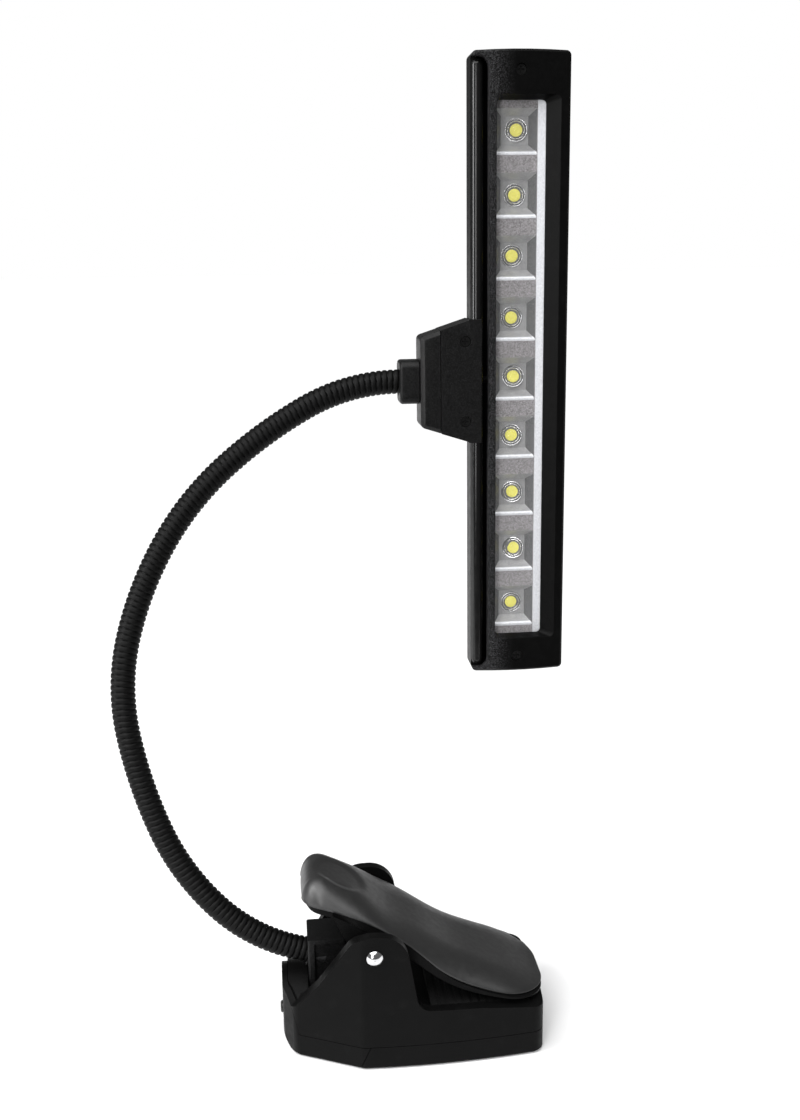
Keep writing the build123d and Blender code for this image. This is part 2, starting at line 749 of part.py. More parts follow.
with BuildPart() as reflector_tray:
    with BuildSketch(rear_of(TRAY_Y)):
        with Locations((51.2, LED_Z)):
            RectangleRounded(20.8, 205.0, 2.0)
    extrude(amount=-1.0)
    for z in led_heights:
        with BuildSketch(rear_of(TRAY_Y + 0.5)):
            with Locations((LED_X, z)):
                RectangleRounded(16.6, 17.4, 1.0)
        with BuildSketch(rear_of(TRAY_Y + POCKET_DEPTH + 0.8)):
            with Locations((LED_X, z)):
                RectangleRounded(12.0, 12.2, 0.8)
        loft()
    for z in led_heights:
        with BuildSketch(rear_of(TRAY_Y)):
            with Locations((LED_X, z)):
                RectangleRounded(15.4, 16.2, 0.6)
        with BuildSketch(rear_of(TRAY_Y + POCKET_DEPTH)):
            with Locations((LED_X, z)):
                RectangleRounded(10.2, 10.4, 0.5)
        loft(mode=Mode.SUBTRACT)
    with BuildSketch(rear_of(TRAY_Y)):
        with Locations(*[(LED_X, z) for z in led_heights]):
            Circle(4.25)
    extrude(amount=-6, mode=Mode.SUBTRACT)
save(reflector_tray.part, "reflector_tray")

BOARD_Y = TRAY_Y + POCKET_DEPTH + 1.0
DOME_R = 4.1
DOME_STEM = 1.9
with BuildPart() as led_board:
    with BuildSketch(rear_of(BOARD_Y)):
        with Locations((51.0, LED_Z)):
            Rectangle(19.0, 204.0)
    extrude(amount=-1.5)
save(led_board.part, "led_board")

DOME_CAP = 2.9
with BuildPart() as led_dome:
    with BuildSketch(Plane.XY.offset(LED_Z)):
        with BuildLine():
            back = BOARD_Y - 0.05
            rim = back - DOME_STEM
            Polyline(
                (LED_X, rim - DOME_CAP),
                (LED_X, back - 1.3),
                (LED_X + 2.6, back - 1.3),
                (LED_X + 2.6, back),
                (LED_X + DOME_R, back),
                (LED_X + DOME_R, rim),
            )
            RadiusArc((LED_X + DOME_R, rim), (LED_X, rim - DOME_CAP), cap_radius(DOME_R, DOME_CAP))
        make_face()
    revolve(axis=Axis((LED_X, 0, LED_Z), (0, 1, 0)))
domes = Compound(children=[Pos(0, 0, z - LED_Z) * led_dome.part for z in led_heights])
save(domes, "led_domes")

with BuildPart() as led_chips:
    with BuildSketch(rear_of(BOARD_Y - 1.2)):
        with Locations(*[(LED_X, z) for z in led_heights]):
            Circle(2.5)
    extrude(amount=-1.1)
save(led_chips.part, "led_chips")


def bracket_outline(left, right, tongue=False):
    """Part of the trapezoid between two x positions, in the head's front plane."""
    low_half, high_half = BRACKET_HALF
    span = BRACKET_RIGHT - BRACKET_LEFT

    def half(x):
        return low_half + (high_half - low_half) * min((x - BRACKET_LEFT) / span, 1)

    with BuildSketch() as shape:
        with BuildLine():
            Polyline(
                (left, NECK_Z - half(left)),
                (right, NECK_Z - half(right)),
                (right, NECK_Z + half(right)),
                (left, NECK_Z + half(left)),
                close=True,
            )
        make_face()
        if tongue:
            with Locations(((BRACKET_RIGHT + TONGUE_RIGHT) / 2 - 0.5, NECK_Z)):
                Rectangle(TONGUE_RIGHT - BRACKET_RIGHT + 1, 2 * high_half)
    return shape.sketch_local


BRACKET_SCREWS = [(29.6, NECK_Z + 14.8), (29.6, NECK_Z - 14.8)]
BRACKET_WALL = 1.8
bracket_middle = (BRACKET_FRONT + BRACKET_BACK) / 2

with BuildPart() as neck_collar:
    with BuildSketch(Plane.YZ.offset(5.3)):
        with Locations((NECK_Y, NECK_Z)):
            RectangleRounded(13.0, 16.2, 3.2)
    extrude(amount=7.5)
    fillet(neck_collar.faces().sort_by(Axis.X)[0].edges(), radius=1.2)
    with BuildSketch(Plane.YZ.offset(4)):
        with Locations((NECK_Y, NECK_Z)):
            Circle(NECK_R + 0.3)
    extrude(amount=12, mode=Mode.SUBTRACT)
save(neck_collar.part, "neck_collar")

with BuildPart() as bracket_nose:
    with BuildSketch(rear_of(BRACKET_FRONT)):
        add(bracket_outline(BRACKET_LEFT, BRACKET_SEAM - 0.1))
    extrude(amount=-(BRACKET_BACK - BRACKET_FRONT))
    fillet(bracket_nose.edges().filter_by(Axis.Y).group_by(Axis.X)[0], radius=2.0)
    for face in (0, -1):
        outer = bracket_nose.faces().filter_by(Axis.Y).sort_by(Axis.Y)[face].edges()
        chamfer(outer.filter_by(lambda edge: edge.center().X < BRACKET_SEAM - 0.5), length=1.5)
    with BuildSketch(Plane.YZ.offset(BRACKET_LEFT - 1)):
        with Locations((NECK_Y, NECK_Z)):
            Circle(NECK_R + 0.3)
    extrude(amount=10, mode=Mode.SUBTRACT)
    with BuildSketch(Plane.YZ.offset(BRACKET_LEFT + 1.8)):
        with Locations((bracket_middle, NECK_Z)):
            Rectangle(BRACKET_BACK - BRACKET_FRONT - 3.6, 26.0)
    extrude(amount=10, mode=Mode.SUBTRACT)
save(bracket_nose.part, "bracket_nose")

for name, front, back, tongue_front in (
    ("bracket_front", BRACKET_FRONT, bracket_middle - 0.05, True),
    ("bracket_back", bracket_middle + 0.05, BRACKET_BACK, False),
):
    with BuildPart() as half_shell:
        with BuildSketch(rear_of(front)):
            add(bracket_outline(BRACKET_SEAM + 0.1, BRACKET_RIGHT))
        extrude(amount=-(back - front))
        if tongue_front:
            with BuildSketch(rear_of(front)):
                add(bracket_outline(BRACKET_SEAM + 0.1, BRACKET_RIGHT, tongue=True))
            extrude(amount=-1.6)
        with BuildSketch(rear_of(front + BRACKET_WALL if tongue_front else front)):
            with Locations((26.2, NECK_Z)):
                Rectangle(15.0, 25.0)
        extrude(amount=-(back - front - BRACKET_WALL), mode=Mode.SUBTRACT)
        if tongue_front:
            with BuildSketch(rear_of(front)):
                with Locations(*BRACKET_SCREWS):
                    Circle(SCREW_R + 0.15)
            extrude(amount=-2.2, mode=Mode.SUBTRACT)
        with BuildSketch(rear_of(front)):
            with Locations(*BRACKET_SCREWS):
                Circle(1.15 if tongue_front else 0.95)
        extrude(amount=-(back - front if tongue_front else 6), mode=Mode.SUBTRACT)
    save(half_shell.part, name)

with BuildPart() as bracket_screws:
    with BuildSketch(rear_of(BRACKET_FRONT + 0.7)):
        with Locations(*BRACKET_SCREWS):
            Circle(SCREW_R)
    extrude(amount=-1.4)
    with BuildSketch(rear_of(BRACKET_FRONT + 0.7)):
        with Locations(*BRACKET_SCREWS):
            Circle(0.9)
    extrude(amount=-12.5)
    with BuildSketch(rear_of(BRACKET_FRONT + 0.7)):
        for x, z in BRACKET_SCREWS:
            with Locations((x, z)):
                Rectangle(2.4, 0.6)
                Rectangle(0.6, 2.4)
    extrude(amount=-0.7, mode=Mode.SUBTRACT)
save(bracket_screws.part, "bracket_screws")

with BuildPart() as head_lead:
    with BuildSketch(Plane.YZ.offset(12.0)):
        with Locations((NECK_Y + 1.5, NECK_Z)):
            Circle(1.2)
    extrude(amount=27.5)
save(head_lead.part, "head_lead")
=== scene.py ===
"""Looks of the clip-on reading lamp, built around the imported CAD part.

Lengths are in millimetres unless a comment says otherwise.
"""

import math
import random

import bmesh
import bpy
import numpy as np
from mathutils import Matrix, Vector


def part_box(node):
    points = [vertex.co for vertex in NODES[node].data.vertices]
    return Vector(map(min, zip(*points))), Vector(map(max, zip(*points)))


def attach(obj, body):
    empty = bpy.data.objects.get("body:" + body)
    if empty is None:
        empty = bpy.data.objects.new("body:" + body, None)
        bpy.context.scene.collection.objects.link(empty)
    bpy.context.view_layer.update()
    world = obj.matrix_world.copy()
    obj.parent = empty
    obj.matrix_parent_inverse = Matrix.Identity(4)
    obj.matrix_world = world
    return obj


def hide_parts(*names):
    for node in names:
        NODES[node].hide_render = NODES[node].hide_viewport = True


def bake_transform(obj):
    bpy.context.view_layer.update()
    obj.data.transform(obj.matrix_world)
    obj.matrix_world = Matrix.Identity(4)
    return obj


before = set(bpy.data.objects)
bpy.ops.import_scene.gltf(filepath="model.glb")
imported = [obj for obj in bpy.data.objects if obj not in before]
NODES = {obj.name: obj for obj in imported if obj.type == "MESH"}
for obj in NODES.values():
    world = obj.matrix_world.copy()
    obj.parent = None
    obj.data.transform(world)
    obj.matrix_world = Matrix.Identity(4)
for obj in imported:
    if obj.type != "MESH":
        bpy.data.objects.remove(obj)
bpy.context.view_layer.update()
MM = 0.001
random.seed(11)


def box_mm(node):
    low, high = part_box(node)
    return low / MM, high / MM


# ---------------------------------------------------------------- materials
class Shader:
    """A material under construction, textured by its object's own coordinates in metres."""

    def __init__(self, name):
        self.material = bpy.data.materials.new(name)
        self.material.use_nodes = True
        self.tree = self.material.node_tree
        self.bsdf = self.tree.nodes["Principled BSDF"]
        self.coords = self.tree.nodes.new("ShaderNodeTexCoord").outputs["Object"]

    def node(self, kind, **values):
        made = self.tree.nodes.new(kind)
        for key, value in values.items():
            if isinstance(value, (int, float, tuple)) and key in made.inputs:
                made.inputs[key].default_value = value
            else:
                setattr(made, key, value)
        return made

    def link(self, a, b):
        self.tree.links.new(a, b)

    def noise(self, size, detail=2.0, roughness=0.5):
        """Noise whose features are about this many millimetres across."""
        made = self.node("ShaderNodeTexNoise", Scale=1 / (size * MM), Detail=detail, Roughness=roughness)
        self.link(self.coords, made.inputs["Vector"])
        return made.outputs["Fac"]

    def spread(self, source, low, high, source_low=0.3, source_high=0.7):
        made = self.node("ShaderNodeMapRange")
        made.inputs["From Min"].default_value = source_low
        made.inputs["From Max"].default_value = source_high
        made.inputs["To Min"].default_value = low
        made.inputs["To Max"].default_value = high
        self.link(source, made.inputs["Value"])
        return made.outputs["Result"]

    def tint(self, source, dark, light, source_low=0.3, source_high=0.7):
        ramp = self.node("ShaderNodeValToRGB")
        ramp.color_ramp.elements[0].position = source_low
        ramp.color_ramp.elements[0].color = (*dark, 1)
        ramp.color_ramp.elements[1].position = source_high
        ramp.color_ramp.elements[1].color = (*light, 1)
        self.link(source, ramp.inputs["Fac"])
        return ramp.outputs["Color"]

    def worn(self, color, rubbed_color):
        """Paler in loose patches, where handling has rubbed the surface."""
        mask = self.spread(self.noise(7.0, 4.0, 0.6), 0.0, 0.8, source_low=0.58, source_high=0.80)
        patchy = self.node("ShaderNodeMath", operation="MULTIPLY")
        self.link(mask, patchy.inputs[0])
        self.link(self.spread(self.noise(0.9, 3.0), 0.1, 1.0), patchy.inputs[1])
        mix = self.node("ShaderNodeMix", data_type="RGBA")
        self.link(patchy.outputs[0], mix.inputs["Factor"])
        self.link(color, mix.inputs["A"])
        mix.inputs["B"].default_value = (*rubbed_color, 1)
        return mix.outputs["Result"]

    def bump(self, source, depth, under=None):
        """Relief of this depth in millimetres, on top of the relief under it."""
        made = self.node("ShaderNodeBump", Strength=1.0, Distance=depth * MM)
        self.link(source, made.inputs["Height"])
        if under is not None:
            self.link(under, made.inputs["Normal"])
        return made.outputs["Normal"]

    def finish(self, color=None, roughness=None, normal=None, **values):
        for socket, source in (("Base Color", color), ("Roughness", roughness), ("Normal", normal)):
            if source is not None:
                self.link(source, self.bsdf.inputs[socket])
        for key, value in values.items():
            self.bsdf.inputs[key.replace("_", " ")].default_value = value
        return self.material


def black_plastic(
    name, dark, light, rough, grain, depth, edge=0.05, specular=0.5, crest_glint=None, glint_fade=None
):
    """Moulded black plastic with a fine spark-eroded grain.

    The grain's crests may have a paler grey, a painted highlight of light caught by the grain, which fades
    out between two places along X as painted light falling off away from the lit side.
    """
    s = Shader(name)
    tone = s.tint(s.noise(9.0, 3.0), (dark,) * 3, (light,) * 3)
    fine = s.noise(grain, 2.5, 0.6)
    # Painted highlight: a paler grey on the grain's crests, as if they catch the light.
    if crest_glint:
        crests = s.spread(fine, 0.0, 1.0, 0.46, 0.64)
        # Painted light: the painted crest highlight is full near the lit side and falls off along X.
        if glint_fade:
            along = s.node("ShaderNodeSeparateXYZ")
            s.link(s.coords, along.inputs[0])
            near = s.spread(along.outputs["X"], 1.0, 0.008, glint_fade[0] * MM, glint_fade[1] * MM)
            near.node.interpolation_type = "SMOOTHSTEP"
            both = s.node("ShaderNodeMath", operation="MULTIPLY")
            s.link(crests, both.inputs[0])
            s.link(near, both.inputs[1])
            crests = both.outputs[0]
        glinted = s.node("ShaderNodeMix", data_type="RGBA")
        s.link(crests, glinted.inputs["Factor"])
        s.link(tone, glinted.inputs["A"])
        glinted.inputs["B"].default_value = (crest_glint, crest_glint, crest_glint * 1.04, 1)
        tone = glinted.outputs["Result"]
    relief = s.bump(fine, depth, under=s.bump(s.noise(14.0), 0.006))
    return s.finish(
        color=s.worn(tone, (edge,) * 3),
        roughness=s.spread(s.noise(2.2, 3.0), rough - 0.05, rough + 0.06),
        normal=relief,
        Specular_IOR_Level=specular,
    )


M = {}
M["base"] = black_plastic(
    "base_plastic", 0.0022, 0.0028, 0.46, 0.28, 0.012, edge=0.007, specular=0.065
)
M["lever"] = black_plastic(
    "lever_satin", 0.011, 0.0125, 0.43, 0.22, 0.004, edge=0.02, specular=0.70
)
# Fitting plastic: a faint painted highlight on its grain crests, for light caught by the grain.
M["fitting"] = black_plastic(
    "fitting_plastic", 0.0015, 0.0021, 0.40, 0.34, 0.060, edge=0.008, specular=0.17, crest_glint=0.010
)
GRAIN_GLINT_FADE = (37.5, 49.0)  # X, from beside the rail to the middle of the LEDs, over which the painted grain highlight fades out: painted light falling off away from the lit left side
# Head plastic: a painted highlight on its grain crests, faded out along X as painted light falling off
# from the lit left side.
M["head"] = black_plastic(
    "head_plastic",
    0.0018,
    0.0024,
    0.36,
    0.34,
    0.050,
    edge=0.006,
    specular=0.06,
    crest_glint=0.07,
    glint_fade=GRAIN_GLINT_FADE,
)
M["shell"] = black_plastic(
    "head_shell_plastic", 0.0018, 0.0024, 0.40, 0.34, 0.03, edge=0.006, specular=0.12
)
M["rail"] = black_plastic("rail_gloss", 0.0030, 0.0036, 0.20, 0.5, 0.002, edge=0.01, specular=0.40)
M["screw"] = black_plastic("screw_black", 0.0030, 0.0045, 0.34, 0.2, 0.004, edge=0.03, specular=0.25)
M["switch"] = black_plastic("switch_gloss", 0.010, 0.012, 0.28, 0.3, 0.003, edge=0.03, specular=0.4)

s = Shader("pad_rubber")
M["pad"] = s.finish(
    color=s.tint(s.noise(4.0, 3.0), (0.003,) * 3, (0.005,) * 3),
    roughness=s.spread(s.noise(1.2, 3.0), 0.72, 0.88),
    normal=s.bump(s.noise(0.3, 3.0), 0.03),
    Specular_IOR_Level=0.15,
)

s = Shader("neck_metal")
M["neck"] = s.finish(
    color=s.worn(s.tint(s.noise(5.0, 3.0), (0.0013,) * 3, (0.0021,) * 3), (0.005,) * 3),
    roughness=s.spread(s.noise(0.9, 3.0), 0.46, 0.60),
    normal=s.bump(s.noise(0.22, 3.0), 0.018),
    Specular_IOR_Level=0.12,
)

s = Shader("lead_jacket")
M["lead"] = s.finish(
    color=s.tint(s.noise(2.0), (0.003,) * 3, (0.005,) * 3),
    roughness=s.spread(s.noise(1.0), 0.6, 0.75),
    normal=s.bump(s.noise(0.3), 0.02),
    Specular_IOR_Level=0.12,
)


def bare_metal(name, dark, light, rough, scratch=0.004, size=0.5):
    s = Shader(name)
    return s.finish(
        color=s.tint(s.noise(3.0, 3.0), dark, light),
        roughness=s.spread(s.noise(0.8, 3.0), rough * 0.8, rough * 1.25),
        normal=s.bump(s.noise(size, 4.0), scratch),
        Metallic=1.0,
    )


M["chrome"] = bare_metal("pin_chrome", (0.62, 0.62, 0.63), (0.70, 0.70, 0.71), 0.12, 0.0006, 1.2)
M["steel"] = bare_metal("spring_steel", (0.05, 0.05, 0.052), (0.08, 0.08, 0.082), 0.38)
M["contact"] = bare_metal("contact_metal", (0.58, 0.57, 0.54), (0.68, 0.67, 0.64), 0.28)
M["cell"] = bare_metal("cell_metal", (0.30, 0.31, 0.33), (0.42, 0.43, 0.45), 0.35)

s = Shader("board_mask")
M["board"] = s.finish(
    color=s.tint(s.noise(1.5, 3.0), (0.045, 0.047, 0.046), (0.065, 0.067, 0.066)),
    roughness=s.spread(s.noise(0.7), 0.30, 0.42),
    normal=s.bump(s.noise(0.5), 0.01),
)


def silvered(name, dark, light, rough, grain, depth, metal):
    """Vacuum-metallised plastic, a little uneven."""
    s = Shader(name)
    return s.finish(
        color=s.tint(s.noise(grain, 3.0, 0.7), dark, light),
        roughness=s.spread(s.noise(1.1, 4.0), rough * 0.8, rough * 1.25),
        normal=s.bump(s.noise(grain * 1.3, 3.0, 0.7), depth),
        Metallic=metal,
    )


M["reflector"] = silvered(
    "reflector_facets", (0.31, 0.31, 0.315), (0.41, 0.41, 0.415), 0.40, 2.2, 0.004, 0.35
)
# Painted shade: a much darker copy of the facet silver for the pockets' side facets, standing in for the
# dim surroundings they reflect.
M["facet_side"] = silvered(
    "reflector_side_facets_painted_shade", (0.075, 0.075, 0.08), (0.12, 0.12, 0.125), 0.40, 1.6, 0.004, 0.35
)
M["mottled"] = silvered(
    "reflector_flats", (0.13, 0.115, 0.122), (0.42, 0.40, 0.41), 0.42, 0.55, 0.03, 0.35
)
# Bright silver: on the plain margin strip beside the pockets, a polished strip painted brighter still as a
# painted reflection; on each pocket's lower lip, a painted highlight of light caught by the rolled edge.
M["strip"] = silvered(
    "reflector_margin_painted_highlight", (0.56, 0.57, 0.60), (0.74, 0.75, 0.78), 0.44, 0.7, 0.012, 0.5
)
M["cup"] = silvered("led_cup", (0.035, 0.035, 0.037), (0.10, 0.10, 0.102), 0.22, 0.9, 0.010, 0.6)
M["ring"] = silvered("led_ring", (0.62, 0.62, 0.63), (0.85, 0.85, 0.86), 0.16, 0.8, 0.012, 0.85)

s = Shader("clear_lens")
M["lens"] = s.finish(
    roughness=s.spread(s.noise(4.0), 0.02, 0.06),
    normal=s.bump(s.noise(14.0), 0.004),
    Base_Color=(0.97, 0.975, 0.98, 1),
    Alpha=0.05,
    IOR=1.45,
    Specular_IOR_Level=0.25,
)

s = Shader("led_dome")
M["dome"] = s.finish(
    roughness=s.spread(s.noise(0.8), 0.02, 0.07),
    normal=s.bump(s.noise(1.4, 2.0), 0.03),
    Base_Color=(0.90, 0.91, 0.92, 1),
    Alpha=0.07,
    IOR=1.5,
    Specular_IOR_Level=0.5,
)

s = Shader("led_phosphor")
phosphor = s.tint(s.noise(0.5, 3.0), (0.74, 0.66, 0.02), (0.88, 0.83, 0.08))
M["phosphor"] = s.finish(
    color=phosphor,
    roughness=s.spread(s.noise(0.4), 0.5, 0.7),
    normal=s.bump(s.noise(0.3, 3.0), 0.03),
)
s.link(phosphor, s.bsdf.inputs["Emission Color"])
s.bsdf.inputs["Emission Strength"].default_value = 0.22

CAD_MATERIALS = {
    "base": ("base_housing", "rear_bottom_cover", "battery_door"),
    "lever": ("lever_cover", "lever_frame"),
    "fitting": ("neck_socket", "neck_collar", "bracket_nose", "bracket_front", "bracket_back"),
    "pad": ("lower_jaw_pad", "upper_jaw_pad"),
    "head": ("front_bezel",),
    "shell": ("head_back_shell",),
    "switch": ("switch_button", "switch_body", "dc_jack"),
    "screw": ("cover_screws", "head_screws", "bracket_screws"),
    "chrome": ("pivot_pin",),
    "steel": ("torsion_spring", "neck_ferrule"),
    "contact": ("contact_plates",),
    "cell": ("aa_cells",),
    "board": ("control_board", "led_board"),
    "reflector": ("reflector_tray",),
    "lens": ("window_lens",),
    "dome": ("led_domes",),
    "phosphor": ("led_chips",),
    "neck": tuple(f"neck_coil_{n}" for n in range(1, 9)),
    "lead": ("head_lead", *(f"neck_lead_{n}" for n in range(1, 9))),
}
for key, names in CAD_MATERIALS.items():
    for name in names:
        for place in NODES[name].material_slots:
            place.material = M[key]


# ---------------------------------------------------------------- meshes
def piece(name, verts, faces, material, body, replaces=(), smooth=35.0):
    """A mesh object from points in millimetres, riding on a body and standing for CAD nodes."""
    mesh = bpy.data.meshes.new(name)
    mesh.from_pydata([Vector(v) * MM for v in verts], [], faces)
    mesh.validate()
    obj = bpy.data.objects.new(name, mesh)
    bpy.context.collection.objects.link(obj)
    mesh.materials.append(M[material])
    mesh.shade_smooth()
    mesh.set_sharp_from_angle(angle=math.radians(smooth))
    if body:
        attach(obj, body)
    if replaces:
        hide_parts(*replaces)
    return obj


WELD = 2e-6  # metres: corners nearer than this are one
FLAT_ANGLE = math.radians(0.6)
HARD_EDGE = math.radians(38.0)


def rounded(node, width, body, material, segments=3):
    """A copy of a CAD node with its hard edges rounded off."""
    mesh = NODES[node].data.copy()
    bm = bmesh.new()
    bm.from_mesh(mesh)
    bmesh.ops.remove_doubles(bm, verts=bm.verts, dist=WELD)
    bmesh.ops.dissolve_limit(bm, angle_limit=FLAT_ANGLE, verts=bm.verts, edges=bm.edges)
    bm.to_mesh(mesh)
    bm.free()
    obj = bpy.data.objects.new(node + "_rounded", mesh)
    bpy.context.collection.objects.link(obj)
    bevel = obj.modifiers.new("edges", "BEVEL")
    bevel.width = width * MM
    bevel.segments = segments
    bevel.limit_method = "ANGLE"
    bevel.angle_limit = HARD_EDGE
    bevel.use_clamp_overlap = True
    bevel.harden_normals = True
    bevel.miter_outer = "MITER_ARC"
    mesh.materials.clear()
    mesh.materials.append(M[material])
    mesh.shade_smooth()
    mesh.set_sharp_from_angle(angle=math.radians(30))
    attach(obj, body)
    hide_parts(node)
    return obj


# ---------------------------------------------------------------- gooseneck
NECK_START = Vector((-37.6, 0, 33.9))
START_ANGLE = 166.7
LEAN = math.radians(12.4)
STRETCH = 36.75
TURNS = (-32.0, -22.5, -12.0, -25.0, -16.0, -18.5, -12.0, -28.7)
NECK_R = 4.5
RIB_PITCH = 2.12
RIB_PROUD = 0.05  # a crest above NECK_R
GROOVE_DEPTH = 0.55
CREST_SHARE = 0.45  # of a rib's width, the part that is flat
RINGS_PER_RIB = 8
NECK_SIDES = 44
LEAN_UP = Vector((0, math.sin(LEAN), math.cos(LEAN)))
ACROSS = Vector((1, 0, 0)).cross(LEAN_UP)
SOCKET_RUN = 6.0
COLLAR_RUN = 5.0


def neck_at(distance):
    """The neck's centre and heading at a distance along it, straight beyond both ends."""
    start, angle = NECK_START, START_ANGLE
    beyond = distance if distance < 0 else max(distance - STRETCH * len(TURNS), 0)
    inside = min(max(distance, 0), STRETCH * len(TURNS) - 1e-6)
    for n, turn in enumerate(TURNS):
        part = min(max(inside / STRETCH - n, 0), 1)
        radius = STRETCH / math.radians(turn)
        here = angle + turn * part
        point = (
            start
            + Vector((1, 0, 0)) * radius * (math.sin(math.radians(here)) - math.sin(math.radians(angle)))
            - LEAN_UP * radius * (math.cos(math.radians(here)) - math.cos(math.radians(angle)))
        )
        if part < 1:
            break
        start, angle = point, here
    heading = Vector((1, 0, 0)) * math.cos(math.radians(here)) + LEAN_UP * math.sin(math.radians(here))
    return point + heading * beyond, heading


def rib_radius(phase):
    """Broad rounded crests with a narrow groove between, as a coil of flat-topped wire."""
    turn = phase % 1.0
    across = abs(turn - 0.5) * 2
    groove = max(0.0, across - CREST_SHARE) ** 1.6 / (1 - CREST_SHARE) ** 1.6
    return NECK_R + RIB_PROUD - GROOVE_DEPTH * groove


def neck_tube(low, high):
    """Verts and faces of the ribbed tube between two distances along the neck, open at its ends."""
    count = max(int(round((high - low) / RIB_PITCH * RINGS_PER_RIB)), 2)
    verts, faces = [], []
    for i in range(count + 1):
        at = low + (high - low) * i / count
        centre, heading = neck_at(at)
        normal = ACROSS.cross(heading).normalized()
        for k in range(NECK_SIDES):
            a = 2 * math.pi * k / NECK_SIDES
            r = rib_radius(at / RIB_PITCH + k / NECK_SIDES)
            verts.append(centre + (normal * math.cos(a) + ACROSS * math.sin(a)) * r)
    for i in range(count):
        for k in range(NECK_SIDES):
            q = (k + 1) % NECK_SIDES
            here, after = i * NECK_SIDES, (i + 1) * NECK_SIDES
            faces.append((here + k, here + q, after + q, after + k))
    return verts, faces


BODIES = ["base", *(f"neck_{n}" for n in range(2, 8)), "head"]
PIECES = len(TURNS) + 1
cuts = [-SOCKET_RUN]
cuts += [STRETCH * (n + 0.5) for n in range(PIECES - 1)]
cuts.append(STRETCH * len(TURNS) + COLLAR_RUN)
for n in range(PIECES):
    verts, faces = neck_tube(cuts[n], cuts[n + 1])
    node = f"neck_coil_{min(max(n, 1), len(TURNS))}"
    at_end = n in (0, PIECES - 1)
    body = BODIES[min(n, len(BODIES) - 1)] if at_end else None
    ribs = piece(f"neck_ribs_{n}", verts, faces, "neck", body, (node,), 60)
    if not at_end:
        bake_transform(ribs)


# ---------------------------------------------------------------- lever cover
def curve_through(points):
    """A smooth function through points (Catmull-Rom), clamped at both ends."""

    def at(x):
        if x <= points[0][0]:
            return points[0][1]
        if x >= points[-1][0]:
            return points[-1][1]
        i = max(k for k in range(len(points) - 1) if points[k][0] <= x)
        (x1, y1), (x2, y2) = points[i], points[i + 1]
        x0, y0 = points[max(i - 1, 0)]
        x3, y3 = points[min(i + 2, len(points) - 1)]
        t = (x - x1) / (x2 - x1)
        m1 = (y2 - y0) / (x2 - x0) * (x2 - x1)
        m2 = (y3 - y1) / (x3 - x1) * (x2 - x1)
        return (
            (2 * t**3 - 3 * t**2 + 1) * y1
            + (t**3 - 2 * t**2 + t) * m1
            + (-2 * t**3 + 3 * t**2) * y2
            + (t**3 - t**2) * m2
        )

    return at


# Heights of the crown and of the rim, half widths, and how far the rim rounds in, each by X.
crown_z = curve_through(
    [
        (-38.4, 69.0),
        (-34, 68.4),
        (-28, 66.5),
        (-18, 60.8),
        (-6, 51.0),
        (6, 44.0),
        (18, 36.4),
        (30, 30.6),
        (40, 26.0),
        (47, 22.9),
        (51.2, 21.2),
    ]
)
rim_z = curve_through(
    [(-39, 59.6), (-30, 58.4), (-16, 53.9), (-1, 45.3), (13.4, 32.8), (30, 25.4), (52, 20.6)]
)
side_y = curve_through(
    [
        (-38.4, 15.6),
        (-34.5, 16.2),
        (-12, 20.2),
        (10, 22.6),
        (30, 23.8),
        (49.2, 23.6),
        (51.2, 23.4),
    ]
)
rounding = curve_through([(-38.4, 7.0), (-30, 9.5), (-18, 14.0), (52, 14.0)])
LEVER_ENDS = (-38.4, 51.2)
END_CORNER = (7.5, 18.0)
REAR_BOW = 0.25
END_STEPS = 20
SIDE_STEPS = 400
OUTLINE_POINTS = 240
SPINE = (-22.0, 32.0)  # the cover's rings close in towards the nearest place between these
RINGS = 44
RING_CROWDING = 1.25
DISH = (-24.0, -0.5, 9.8, 10.4, 0.9)  # centre x and y, half length, half width, depth
COVER_WALL = 1.6


def lever_half(x):
    """Half width of the lever at x, with rounded corners at both ends."""
    half = side_y(x)
    for end, corner in zip(LEVER_ENDS, END_CORNER):
        near = abs(x - end)
        if near < corner:
            half -= corner - math.sqrt(max(corner**2 - (corner - near) ** 2, 0))
    return half


def lever_outline(count):
    """Evenly spaced points round the lever, starting at the thumb end's middle."""
    rear, front = LEVER_ENDS
    half = []
    for i in range(END_STEPS - 1):
        share = i / END_STEPS
        half.append((rear + REAR_BOW * share**2, lever_half(rear) * share))
    half.append((rear + REAR_BOW, lever_half(rear)))
    for i in range(1, SIDE_STEPS):
        t = i / SIDE_STEPS
        x = (rear + front) / 2 - (front - rear) / 2 * math.cos(math.pi * t)
        half.append((x, lever_half(x)))
    half += [(front, lever_half(front) * i / END_STEPS) for i in range(END_STEPS, -1, -1)]
    dense = np.array(half + [(x, -y) for x, y in reversed(half[1:-1])] + half[:1])
    run = np.concatenate(([0.0], np.cumsum(np.sqrt((np.diff(dense, axis=0) ** 2).sum(1)))))
    at = np.linspace(0.0, run[-1], count, endpoint=False)
    return [(float(np.interp(d, run, dense[:, 0])), float(np.interp(d, run, dense[:, 1]))) for d in at]


def lever_height(x, inward):
    """Height of the cover's top at a distance inward from its outline."""
    share = min(inward / rounding(x), 1.0)
    crown = (1 - (1 - share) ** 2.2) ** 0.60
    return rim_z(x) + (crown_z(x) - rim_z(x)) * crown


outline = lever_outline(OUTLINE_POINTS)
RIM_A = np.array(outline)
RIM_B = np.roll(RIM_A, -1, axis=0)
RIM_RUN = RIM_B - RIM_A


def from_rim(x, y):
    """Shortest distance in plan from a point to the lever's outline."""
    away = np.array((x, y)) - RIM_A
    t = np.clip((away * RIM_RUN).sum(1) / np.maximum((RIM_RUN**2).sum(1), 1e-9), 0, 1)
    return float(np.sqrt(((away - RIM_RUN * t[:, None]) ** 2).sum(1)).min())


